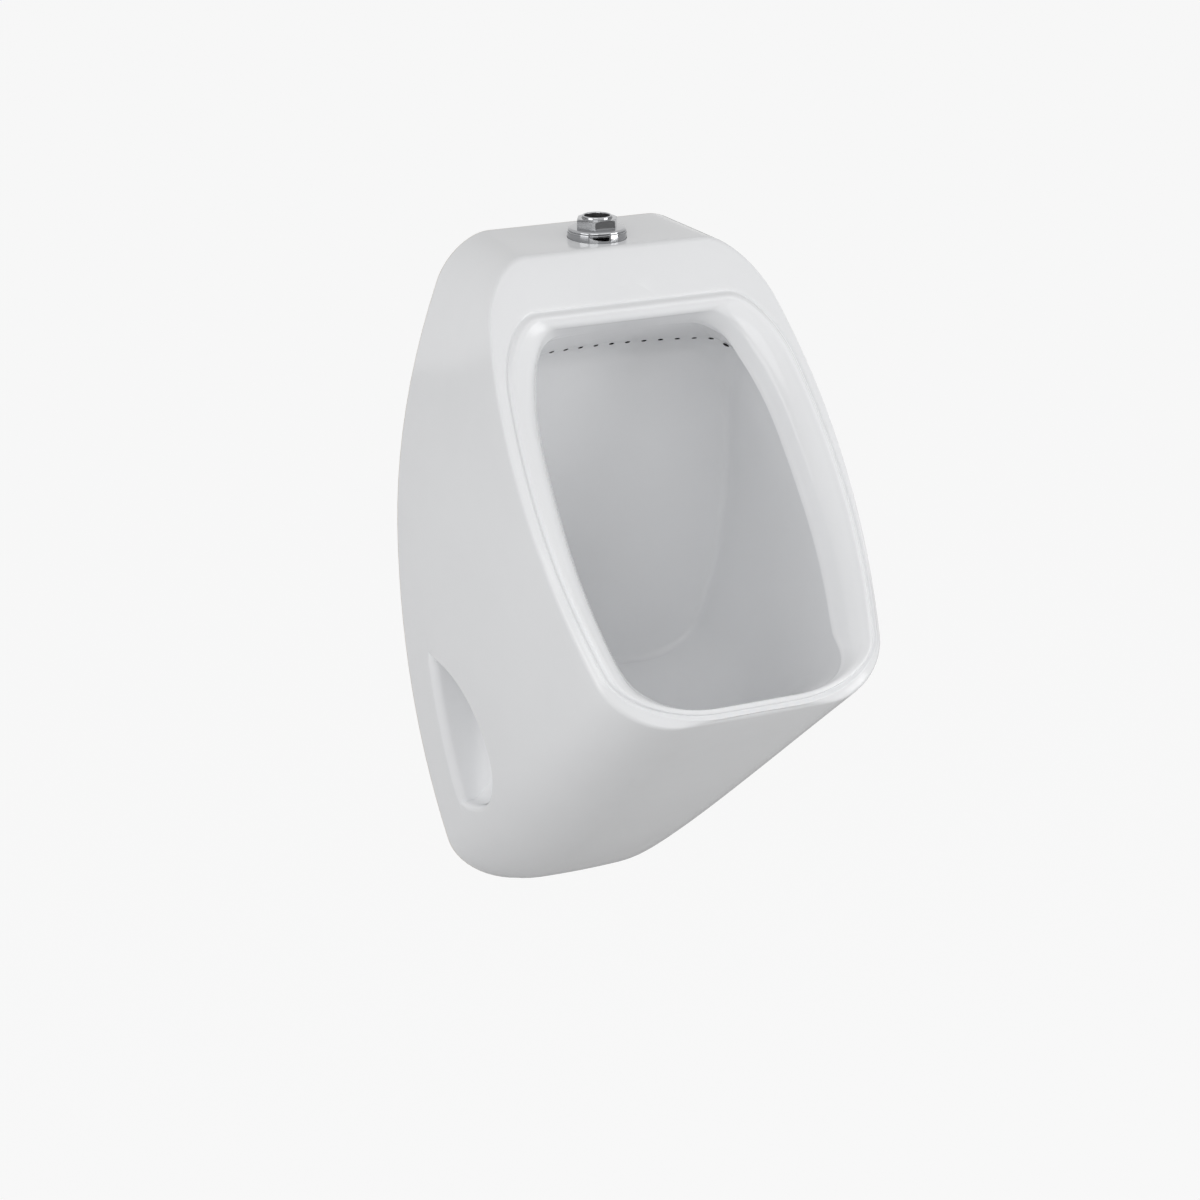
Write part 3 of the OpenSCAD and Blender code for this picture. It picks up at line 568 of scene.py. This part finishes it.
def flared(tree, at, u, v, points, rounds, depth, scoop=0):
    """A cutter whose edge is rounded over where it meets the skin, with a scooped floor.
    The points are places (a, b) along u and v from at, and it cuts along u x v"""
    inward = u.cross(v)
    centre = sum((Vector(p) for p in points), Vector((0, 0))) / len(points)
    steps = [i / ROUND_STEPS for i in range(ROUND_STEPS + 1)]

    def rim(turn, lift):
        ring = []
        for i, p in enumerate(points):
            side = Vector(points[(i + 1) % len(points)]) - Vector(points[i - 1])
            out = Vector((side.y, -side.x)).normalized()
            if out.dot(Vector(p) - centre) < 0:
                out = -out
            r = rounds[i]
            q = Vector(p) + out * r * (1 - sin(turn))
            spot = at + (u * q.x + v * q.y) * MM
            hit = tree.ray_cast(spot - inward * LOOK_FROM, inward)[0]
            level = (hit - spot).dot(inward) if hit else 0
            ring.append(spot + inward * (level + (r * (1 - cos(turn)) + lift) * MM))
        return ring

    rings = [rim(0, -CUT_START)] + [rim(pi / 2 * s, -CUT_PROUD) for s in steps]
    middle = at + (u * centre.x + v * centre.y) * MM
    edge = rings[-1]
    for s in steps if scoop else (0,):
        draw = SCOOP_DRAW * (1 - cos(pi / 2 * s))
        level = depth - scoop * (1 - sin(pi / 2 * s))
        rings.append([p + inward * (level * MM - (p - at).dot(inward))
                      + (middle - p - inward * (middle - p).dot(inward)) * draw for p in edge])
    bm, _, _ = join_rings(rings)
    bmesh.ops.recalc_face_normals(bm, faces=bm.faces)
    return bm


# A face lies on the uncut skin where it is this near and turns this little from it, and under it
# where it is this far. A corner takes the skin's normal where its face turns this little from it
ON_SKIN, ALONG_SKIN, UNDER_SKIN, ALONG_FACE = 0.3 * MM, 0.97, 0.4 * MM, 0.93


class Skin:
    """The skin before it is cut, for the edges of the cuts and the shading beside them"""

    def __init__(self, bm):
        bm.normal_update()
        self.tree = BVHTree.FromBMesh(bm)
        self.faces = [([v.co.copy() for v in f.verts], [v.normal.copy() for v in f.verts])
                      for f in bm.faces]

    def holds(self, polygon):
        """The uncut skin's face that a face is a part of, or None"""
        _, flat, index, far = self.tree.find_nearest(polygon.center)
        return index if far < ON_SKIN and flat.dot(polygon.normal) > ALONG_SKIN else None

    def lies_under(self, polygon):
        return self.tree.find_nearest(polygon.center)[3] > UNDER_SKIN

    def shade(self, mesh):
        """Corners of the skin beside a cut keep the uncut skin's normals"""
        homes = [self.holds(p) for p in mesh.polygons]
        cut = {v for p, home in zip(mesh.polygons, homes) if home is None for v in p.vertices}
        normals = [(0, 0, 0)] * len(mesh.loops)
        for p, home in zip(mesh.polygons, homes):
            for i in p.loop_indices if home is not None else ():
                v = mesh.loops[i].vertex_index
                if v in cut:
                    corners, turned = self.faces[home]
                    shares = poly_3d_calc(corners, mesh.vertices[v].co)
                    n = sum((t * w for t, w in zip(turned, shares)), Vector()).normalized()
                    if n.dot(p.normal) > ALONG_FACE:
                        normals[i] = n
        mesh.normals_split_custom_set(normals)


def finish_piece(piece, material, body, slot, *nodes, sharp=32):
    """Smooth faces with sharp edges where they turn, a finish, a body and the nodes that the
    piece stands for"""
    mesh = piece.data
    bm = bmesh.new()
    bm.from_mesh(mesh)
    bmesh.ops.remove_doubles(bm, verts=bm.verts, dist=1e-6)
    for edge in bm.edges:
        edge.smooth = len(edge.link_faces) == 2 and edge.calc_face_angle(0) < radians(sharp)
    for face in bm.faces:
        face.smooth = True
        face.material_index = 0
    bm.to_mesh(mesh)
    bm.free()
    mesh.materials.clear()
    mesh.materials.append(material)
    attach(piece, body)
    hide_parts(*nodes)


# The inlet, with the seat of the spud's ring on the shelf, and a height over everything
INLET_Y, INLET_HOLE_R, SEAT_Z, BASE_RING_R, RING_GAP, SKY_Z = 57, 17, 629, 26.3, 0.3, 700

# The drain's well and throat, the trap behind it, and the outlet
DRAIN_Y, WELL_Z, WELL_R, WELL_ROUND, WELL_SIDES, THROAT_R = 158, 170, 38, 5, 72, 21
TRAP_HIGH_Y, TRAP_R, TRAP_WALL, BEND_MORE = 46, 18, 9, 0.4
OUTLET_Z, OUTLET_R, OUTLET_FACE_Y, HUB_Y, HUB_R = 165, 22, 18, 30, 39
STUD_X, STUD_HOLE_R, EAR_R, BAR_INSET, BAR_THINNER = 53, 4.3, 13, 5, 0.3
TRAP = [(0, -DRAIN_Y, WELL_Z - THROAT_R), (0, -92, 92), (0, -TRAP_HIGH_Y, OUTLET_Z)]

# How far each of the trap's bores runs on past its bend: the first one, the second one low, high
BORE_PAST, BORE_PAST_LOW, BORE_PAST_HIGH = 9, 7, 5

# The room under the hollow, for the outlet's nuts
LOW_HALF, LOW_Z, LOW_TOP, LOW_DEPTH, LOW_LEDGE = 84, 40, 204, 62, 15

# The bars that the wall's hangers carry
CATCH_X, CATCH_HALF, CATCH_Y, CATCH_Z = 85, 26, (-18.7, -5.3), (492, 513)

# The flush chamber, with its section from the side, as places (y, z), and from the front, (x, z)
CHAMBER_ROOF, CHAMBER_FLOOR, CHAMBER_HALF = 612, 534, 118
CHAMBER_SIDE = ((-26, CHAMBER_FLOOR), (-40, CHAMBER_FLOOR), (-103, 572), (-103, 594),
                (-88, CHAMBER_ROOF), (-26, CHAMBER_ROOF))
CHAMBER_FRONT = ((-CHAMBER_HALF, CHAMBER_FLOOR - 1), (CHAMBER_HALF, CHAMBER_FLOOR - 1),
                 (CHAMBER_HALF, 574), (94, CHAMBER_ROOF + 1), (-94, CHAMBER_ROOF + 1),
                 (-CHAMBER_HALF, 574))

# The flush holes: their number on each side of the middle one, and their place on the cove
HOLES_EACH_SIDE, HOLE_PITCH, HOLE_R, HOLE_TURN = 8, 15.4, 2.4, 54
HOLE_WAY, HOLE_OUT, HOLE_IN = Vector((0, 0.59, 0.81)).normalized(), 4, 30

# The hand pockets, half round with a straight edge at the back, and the rounds at their edges
POCKET_R, POCKET_Z, POCKET_Y, POCKET_FLOOR, POCKET_SCOOP = 73, 184, 46, 106, 18
POCKET_ROUND, POCKET_MORE_ROUND = 1.5, 6.5


def skin_rings():
    """Rings over the whole skin, from the bowl's back by the mouth and the wall to the hollow"""
    rings = [bowl_back(s) for s in BACK_AT]
    rings += [bowl_edge(radians(a)) for a in COVE_AT]
    rings += [bowl_side(t) for t in SIDES_AT]
    rings.append(ceiling(mix(mouth_ring, wall_ring, 0.3), EDGE_ON_CEILING))
    rings += [ceiling(lip(*at), t) for at, t in zip(LIP[:4:-1], LIP_ON_CEILING)]
    rings += [lip(*at) for at in LIP[4::-1]]
    rings += [bead(*at) for at in reversed(BEAD)]
    rings.append(mix(bead(*BEAD[0]), frame_edge(1), 0.2))
    rings += [frame_edge(t) for t in EDGE_AT]
    rings += [outside(t) for t in OUTSIDE_AT]
    hollow = smooth_path([hollow_ring(*at) for at in HOLLOW_CORNER], 2)
    return smooth_path(rings, 3) + hollow + [hollow_back(s) for s in HOLLOW_BACK_AT]


def room_for_nuts():
    low = [(-LOW_HALF, y, z) for y, z in
           ((1, LOW_Z), (-LOW_LEDGE, LOW_Z),
            (-LOW_DEPTH, LOW_Z + LOW_DEPTH * tan(radians(FRONT_LEAN)) - LOW_LEDGE),
            (-LOW_DEPTH, LOW_TOP - LOW_DEPTH + HOLLOW_DEPTH), (-HOLLOW_DEPTH, LOW_TOP),
            (1, LOW_TOP))]
    return tool(prism, low, (2 * LOW_HALF, 0, 0))


def trap_and_catches():
    """The trap's walls, the outlet's hub with its two ears, and the bars for the hangers"""
    wall_r = TRAP_R + TRAP_WALL
    added = [tool(rod, TRAP[1], TRAP[2], wall_r), tool(ball, TRAP[1], wall_r + BEND_MORE),
             tool(ball, TRAP[2], wall_r + BEND_MORE),
             tool(rod, TRAP[2], (0, -OUTLET_FACE_Y - 1, OUTLET_Z), OUTLET_R + TRAP_WALL),
             tool(rod, (0, -HUB_Y, OUTLET_Z), (0, -OUTLET_FACE_Y, OUTLET_Z), HUB_R),
             tool(block, (BAR_INSET - STUD_X, -HUB_Y, OUTLET_Z - EAR_R + BAR_THINNER),
                  (STUD_X - BAR_INSET, -OUTLET_FACE_Y, OUTLET_Z + EAR_R - BAR_THINNER))]
    for x in (-STUD_X, STUD_X):
        added.append(tool(rod, (x, -HUB_Y, OUTLET_Z), (x, -OUTLET_FACE_Y, OUTLET_Z), EAR_R))
    for x in (-CATCH_X, CATCH_X):
        added.append(tool(block, (x - CATCH_HALF, CATCH_Y[0], CATCH_Z[0]),
                          (x + CATCH_HALF, CATCH_Y[1], CATCH_Z[1])))
    return added


def flush_chamber():
    side = [(-CHAMBER_HALF, y, z) for y, z in CHAMBER_SIDE]
    chamber = as_object("chamber", tool(prism, side, (2 * CHAMBER_HALF, 0, 0)))
    front = [(x, 0, z) for x, z in CHAMBER_FRONT]
    carve(chamber, [tool(prism, front, (0, CHAMBER_SIDE[2][0] - 1, 0))], "INTERSECT")
    room = bmesh.new()
    room.from_mesh(chamber.data)
    bpy.data.objects.remove(chamber)
    return room


def waterway():
    """The inlet's hole and seat, the throat, the trap's bores, the outlet and the studs' holes"""
    cuts = [tool(rod, (0, -INLET_Y, CHAMBER_ROOF - 1), (0, -INLET_Y, SKY_Z), INLET_HOLE_R),
            tool(rod, (0, -INLET_Y, SEAT_Z), (0, -INLET_Y, SKY_Z), BASE_RING_R + RING_GAP, 96),
            tool(rod, TRAP[0], (0, -DRAIN_Y, WELL_Z + 1), THROAT_R),
            tool(rod, TRAP[0], past(TRAP[0], TRAP[1], BORE_PAST), TRAP_R),
            tool(rod, past(TRAP[2], TRAP[1], BORE_PAST_LOW),
                 past(TRAP[1], TRAP[2], BORE_PAST_HIGH), TRAP_R),
            tool(rod, TRAP[2], (0, 5, OUTLET_Z), OUTLET_R)]
    for x in (-STUD_X, STUD_X):
        cuts.append(tool(rod, (x, -HUB_Y - 1, OUTLET_Z), (x, 1 - OUTLET_FACE_Y, OUTLET_Z),
                         STUD_HOLE_R, 24))
    return cuts


def drain_well(tree):
    """The drain's well, rounded over where it meets the bowl's floor, cut from well above it"""
    circle = [(WELL_R * cos(a), WELL_R * sin(a))
              for a in np.linspace(0, 2 * pi, WELL_SIDES, False)]
    start_z = 450
    return flared(tree, Vector((0, -DRAIN_Y, start_z)) * MM, Vector((0, 1, 0)),
                  Vector((1, 0, 0)), circle, [WELL_ROUND] * WELL_SIDES, start_z - WELL_Z)


def flush_holes():
    """A row of holes from the bowl to the flush chamber, along the cove under the ceiling"""
    row = bowl_edge(radians(HOLE_TURN / TOP_TURN))
    walk = np.insert(np.cumsum(np.linalg.norm(np.diff(row, axis=0), axis=1)), 0, 0)
    holes = []
    for i in range(-HOLES_EACH_SIDE, HOLES_EACH_SIDE + 1):
        p = Vector([np.interp(abs(i) * HOLE_PITCH, walk, row[:, k]) for k in range(3)])
        p.x = -p.x if i < 0 else p.x
        holes.append(tool(rod, p - HOLE_WAY * HOLE_OUT, p + HOLE_WAY * HOLE_IN, HOLE_R, 24))
    return holes


def hand_pockets(tree):
    """A pocket in each side, with its back and lower edges rounded over"""
    edge = [(-POCKET_R * cos(a), POCKET_R * sin(a)) for a in np.linspace(-pi / 2, pi / 2, 40)]
    edge += [(0, z) for z in np.linspace(POCKET_R, -POCKET_R, 26)[1:-1]]
    rounds = [POCKET_ROUND + POCKET_MORE_ROUND * max(share(x, -6, 0), share(-z, 40, 66))
              for x, z in edge]
    pockets = []
    for s in (-1, 1):
        at = Vector((s * POCKET_FLOOR, -POCKET_Y, POCKET_Z)) * MM
        u, v = Vector((0, 1, 0)), UP * -s
        spots = [(x, -s * z) for x, z in edge]
        pockets.append(flared(tree, at, u, v, spots, rounds, 0, POCKET_SCOOP))
    return pockets


def china(dark):
    skin = loft(skin_rings(), (0, back_y(0, BOWL_MID), BOWL_MID),
                (0, -HOLLOW_DEPTH, (HOLLOW_TOP + FLANGE_W) / 2))
    uncut = Skin(skin)
    body = as_object("china_glazed", skin)
    carve(body, [room_for_nuts()], "DIFFERENCE")
    carve(body, trap_and_catches(), "UNION")
    carve(body, [flush_chamber()] + waterway() + [drain_well(uncut.tree)], "DIFFERENCE")
    carve(body, flush_holes(), "DIFFERENCE")
    carve(body, hand_pockets(uncut.tree), "DIFFERENCE")
    finish_piece(body, glaze(), "fixture", "vitreous_china", "china_body")
    uncut.shade(body.data)

    # The flush chamber and its holes are painted near black, as painted shade
    body.data.materials.append(dark)
    for face in body.data.polygons:
        _, y, z = face.center / MM
        if (y < CHAMBER_SIDE[0][0] - 0.5 and HOLLOW_TOP < z < CHAMBER_ROOF + 1.5
                and uncut.lies_under(face)):
            face.material_index = 1


# Heights over the seat and radii of the inlet spud
BASE_RING_H, GROOVE_Z, GROOVE_W, TOP_RING_R, TOP_RING_H = 8.2, 6.6, 0.5, 25.7, 2.6
SPUD_R, SPUD_BORE_R, SPUD_FOOT_R, SPUD_FOOT_H, RING_BORE_R = 13.25, 11.5, 23, 3, 13.55
SPUD_H, SPUD_LOW = 21.5, 25.5
NUT_CORNER_R, NUT_H, NUT_BEVEL_IN, NUT_BEVEL_H = 19.6, 8.4, 1.9, 1.7
SEAT = Vector((0, -INLET_Y, SEAT_Z))

# The rings' outer edges lie outside this radius
OUTER_R = 20


def turned(profile):
    """A closed profile of radii and heights over the seat, turned about the inlet's line"""
    bm = bmesh.new()
    ring, edges = closed_line(bm, [(SEAT + Vector((r, 0, z))) * MM for r, z in profile])
    bmesh.ops.spin(bm, geom=ring + edges, cent=SEAT * MM, axis=UP, angle=2 * pi, steps=96,
                   use_merge=True)
    bmesh.ops.recalc_face_normals(bm, faces=bm.faces)
    return bm


def ease_edges(bm, low, top, width, inner=0, segments=4):
    """Rounds the sharp edges between two heights over the seat and outside a radius"""
    picked = []
    for edge in bm.edges:
        mid = (edge.verts[0].co + edge.verts[1].co) / 2 / MM - SEAT
        if low < mid.z < top and mid.xy.length > inner and edge.calc_face_angle(0) > 0.3:
            picked.append(edge)
    bmesh.ops.bevel(bm, geom=picked, offset=width * MM, segments=segments, profile=0.5,
                    affect="EDGES", material=-1)


def spud_nut(chrome, low):
    """The lock nut: a hexagon within a turned blank, which chamfers its upper corners"""
    top = low + NUT_H
    blank = as_object("spud_nut_turned", turned([
        (RING_BORE_R, low), (NUT_CORNER_R + 1, low), (NUT_CORNER_R + 1, top - NUT_BEVEL_H),
        (NUT_CORNER_R - NUT_BEVEL_IN, top), (RING_BORE_R, top)]))
    hexagon = bmesh.new()
    mid = Vector((0, -INLET_Y, SEAT_Z + low + NUT_H / 2)) * MM
    bmesh.ops.create_cone(hexagon, cap_ends=True, segments=6, radius1=NUT_CORNER_R * MM,
                          radius2=NUT_CORNER_R * MM, depth=(NUT_H + 4) * MM,
                          matrix=Matrix.Translation(mid) @ Matrix.Rotation(pi / 6, 4, "Z"))
    carve(blank, [hexagon], "INTERSECT")
    softened = blank.modifiers.new("edges", "BEVEL")
    softened.width, softened.segments, softened.limit_method = 0.35 * MM, 3, "ANGLE"
    softened.angle_limit = radians(25)
    finish_piece(blank, chrome, "fixture", "chrome_plate", "spud_nut")


def spud(chrome, dark):
    """The inlet's tube with its foot, its two rings and its lock nut"""
    foot_top = SPUD_FOOT_H - SPUD_LOW
    tube = turned([(SPUD_BORE_R, SPUD_H), (SPUD_R, SPUD_H), (SPUD_R, foot_top),
                   (SPUD_FOOT_R, foot_top), (SPUD_FOOT_R, -SPUD_LOW), (SPUD_BORE_R, -SPUD_LOW)])
    ease_edges(tube, SPUD_H - 1, SPUD_H + 1, 0.8)
    groove_r, groove_top = BASE_RING_R - GROOVE_W, GROOVE_Z + GROOVE_W
    base = turned([(RING_BORE_R, 0), (BASE_RING_R, 0), (BASE_RING_R, GROOVE_Z),
                   (groove_r, GROOVE_Z), (groove_r, groove_top), (BASE_RING_R, groove_top),
                   (BASE_RING_R, BASE_RING_H), (RING_BORE_R, BASE_RING_H)])
    ease_edges(base, BASE_RING_H - 0.2, BASE_RING_H + 1, 0.4, OUTER_R)
    ease_edges(base, -1, 0.2, 0.3, OUTER_R)
    top = BASE_RING_H + TOP_RING_H
    upper = turned([(RING_BORE_R, BASE_RING_H), (TOP_RING_R, BASE_RING_H), (TOP_RING_R, top),
                    (RING_BORE_R, top)])
    ease_edges(upper, top - 0.2, top + 1, 1.7, OUTER_R, 8)
    ease_edges(upper, BASE_RING_H - 1, BASE_RING_H + 0.2, 0.4, OUTER_R)
    spud_nut(chrome, top)
    for name, bm, node in (("spud_tube_turned", tube, "spud_body"),
                           ("spud_ring_lower", base, "spud_base_ring"),
                           ("spud_ring_upper", upper, "spud_top_ring")):
        finish_piece(as_object(name, bm), chrome, "fixture", "chrome_plate", node, sharp=40)

    # The tube's bore is painted near black, as painted shade
    bore = bpy.data.objects["spud_tube_turned"].data
    bore.materials.append(dark)
    for face in bore.polygons:
        if (face.center.xy / MM + Vector((0, INLET_Y))).length < SPUD_BORE_R:
            face.material_index = 1


def place_camera(scene):
    camera = bpy.data.objects.new("camera", bpy.data.cameras.new("camera"))
    camera.data.lens = 99
    camera.data.sensor_width = 36
    camera.data.clip_end = 100
    camera.location = (-1.2536, -2.6334, 1.2773)
    camera.rotation_euler = (radians(71), 0, radians(-26))
    scene.collection.objects.link(camera)
    scene.camera = camera


def light_world(scene):
    """An even light, which shows as a pale background to the camera and in reflections"""
    world = bpy.data.worlds.new("studio")
    world.use_nodes = True
    scene.world = world
    tree = world.node_tree
    path = tree.nodes.new("ShaderNodeLightPath")
    seen = path.outputs["Is Camera Ray"]
    for ray in ("Is Glossy Ray", "Is Transmission Ray"):
        either = tree.nodes.new("ShaderNodeMath")
        either.operation = "MAXIMUM"
        tree.links.new(seen, either.inputs[0])
        tree.links.new(path.outputs[ray], either.inputs[1])
        seen = either.outputs[0]
    light, view = tree.nodes["Background"], tree.nodes.new("ShaderNodeBackground")
    light.inputs["Color"].default_value = (1, 1, 1, 1)
    light.inputs["Strength"].default_value = 0.42
    view.inputs["Color"].default_value = (0.96, 0.96, 0.96, 1)
    pick = tree.nodes.new("ShaderNodeMixShader")
    tree.links.new(seen, pick.inputs["Fac"])
    tree.links.new(light.outputs[0], pick.inputs[1])
    tree.links.new(view.outputs[0], pick.inputs[2])
    tree.links.new(pick.outputs[0], tree.nodes["World Output"].inputs["Surface"])


def hang_lamp(scene, name, at, aim, size, watts):
    data = bpy.data.lights.new(name, "AREA")
    data.shape = "RECTANGLE"
    data.size, data.size_y = size
    data.energy = watts
    made = bpy.data.objects.new(name, data)
    made.location = at
    made.rotation_euler = (Vector(aim) - Vector(at)).to_track_quat("-Z", "Y").to_euler()
    scene.collection.objects.link(made)


def flat_sheet(name, size):
    bm = bmesh.new()
    bmesh.ops.create_grid(bm, x_segments=1, y_segments=1, size=size)
    return as_object(name, bm)


def lay_floor():
    """A pale floor that glows to the camera, so that it meets the background, and keeps a part
    of the object's shadow"""
    floor = flat_sheet("floor", 14)
    floor.data.transform(Matrix.Translation((0, 0, -0.35)))
    f = Finish("pale_floor", Roughness=0.9, Specular_IOR_Level=0.0)
    f.feed("Base Color", (0.6, 0.6, 0.6, 1))
    glow = f.tree.nodes.new("ShaderNodeEmission")
    glow.inputs["Color"].default_value = (0.965, 0.965, 0.965, 1)
    ways = f.tree.nodes.new("ShaderNodeLightPath")
    blend = f.tree.nodes.new("ShaderNodeMixShader")
    factor = Value(f, ways.outputs["Is Camera Ray"]) * 0.95
    f.link(blend.inputs["Fac"], factor)
    f.tree.links.new(f.shader.outputs[0], blend.inputs[1])
    f.tree.links.new(glow.outputs[0], blend.inputs[2])
    f.tree.links.new(blend.outputs[0], f.tree.nodes["Material Output"].inputs["Surface"])
    floor.data.materials.append(f.material)


def hang_card():
    """A dark card low in front of the spud, which only shows in reflections"""
    card = flat_sheet("card", 0.5)
    way = Vector((-0.163, -0.987, -0.34)).normalized()
    place = Matrix.Translation(SEAT * MM + way * 0.6)
    card.data.transform(place @ way.to_track_quat("Z", "X").to_matrix().to_4x4()
                        @ Matrix.Diagonal((0.32, 0.7, 1, 1)))
    card.visible_camera = card.visible_diffuse = card.visible_shadow = False
    card.visible_transmission = card.visible_volume_scatter = False
    card.data.materials.append(Finish("black_card", Base_Color=(0.01, 0.01, 0.01, 1),
                                      Roughness=1.0, Specular_IOR_Level=0.0).material)


def studio():
    scene = bpy.context.scene
    scene.view_settings.view_transform = "Standard"
    place_camera(scene)
    light_world(scene)
    middle, upper = (0, -0.15, 0.35), (0, -0.15, 0.4)
    hang_lamp(scene, "key", (-1.6, -2.2, 1.6), middle, (1.6, 1.6), 18)
    hang_lamp(scene, "high", (0.3, -2.0, 2.3), middle, (1.8, 1.4), 7)
    hang_lamp(scene, "left", (-2.6, -0.7, 0.45), upper, (1.6, 1.8), 21)
    hang_lamp(scene, "right", (2.0, -2.0, 0.6), upper, (1.6, 1.6), 30)
    lay_floor()
    hang_card()


dark = painted_shade_waterway()
china(dark)
chrome, steel, rubber = polished_chrome(), satin_steel(), black_rubber()
zinc = satin_steel("zinc_steel", 0.32, 0.5, (0.50, 0.52, 0.55))
brass = satin_steel("turned_brass", 0.25, 0.4, (0.60, 0.42, 0.18))
spud(chrome, dark)
finishes = {
    "spud_gasket": rubber, "spud_washer": brass, "strainer": steel, "strainer_seal": rubber,
    "outlet_flange": cast_iron(), "outlet_gasket": rubber, "outlet_studs": zinc,
    "outlet_washers": zinc, "outlet_nuts": zinc, "hanger_left": zinc, "hanger_right": zinc,
}
for node, material in finishes.items():
    mesh = frame["nodes"][node].data
    mesh.materials.clear()
    mesh.materials.append(material)
studio()
